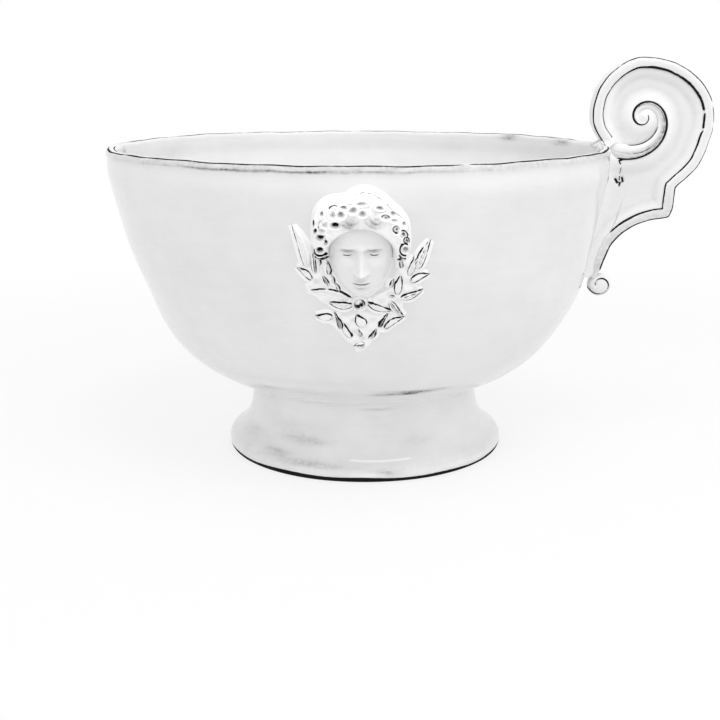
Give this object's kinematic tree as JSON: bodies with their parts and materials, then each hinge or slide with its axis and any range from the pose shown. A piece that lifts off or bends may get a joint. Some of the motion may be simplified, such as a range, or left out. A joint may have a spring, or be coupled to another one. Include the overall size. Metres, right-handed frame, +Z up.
{
  "type": "footed bowl with handle",
  "caption": "White-glazed dark earthenware serving bowl on a spool-shaped foot, with a flat scroll handle and an applied relief of a curly-haired head among laurel leaves.",
  "frame": {"origin": "on the standing surface, under the middle of the whole object's footprint", "axes": "+Z up; +X from the bowl towards the handle; the relief faces -Y"},
  "size_m": [0.2799, 0.2362, 0.1808],
  "materials": {
    "bowl_glaze": "glossy white glaze over dark clay, thin and dark on the lip",
    "foot_glaze": "glossy white glaze over dark clay, bare at the base edge",
    "handle_glaze": "glossy white glaze, broken to dark clay on sharp edges",
    "relief_glaze": "glossy white glaze, dark clay in the crevices and on leaf edges"
  },
  "bodies": {
    "root": {"bowl": "bowl_glaze", "foot_ring": "foot_glaze", "handle_web": "handle_glaze", "handle_border": "handle_glaze", "handle_volute_front": "handle_glaze", "handle_volute_back": "handle_glaze", "handle_tail_curl": "handle_glaze", "mask_face": "relief_glaze", "mask_hair": "relief_glaze", "knot_berry": "relief_glaze", "leaf_left_1": "relief_glaze", "leaf_left_2": "relief_glaze", "leaf_left_3": "relief_glaze", "leaf_left_4": "relief_glaze", "leaf_left_5": "relief_glaze", "leaf_left_6": "relief_glaze", "leaf_right_1": "relief_glaze", "leaf_right_2": "relief_glaze", "leaf_right_3": "relief_glaze", "leaf_right_4": "relief_glaze", "leaf_right_5": "relief_glaze", "leaf_right_6": "relief_glaze", "leaf_lower_1": "relief_glaze", "leaf_lower_2": "relief_glaze", "leaf_lower_3": "relief_glaze", "leaf_lower_4": "relief_glaze", "leaf_lower_5": "relief_glaze", "leaf_lower_6": "relief_glaze", "leaf_lower_7": "relief_glaze", "leaf_lower_8": "relief_glaze"}
  },
  "joints": []
}
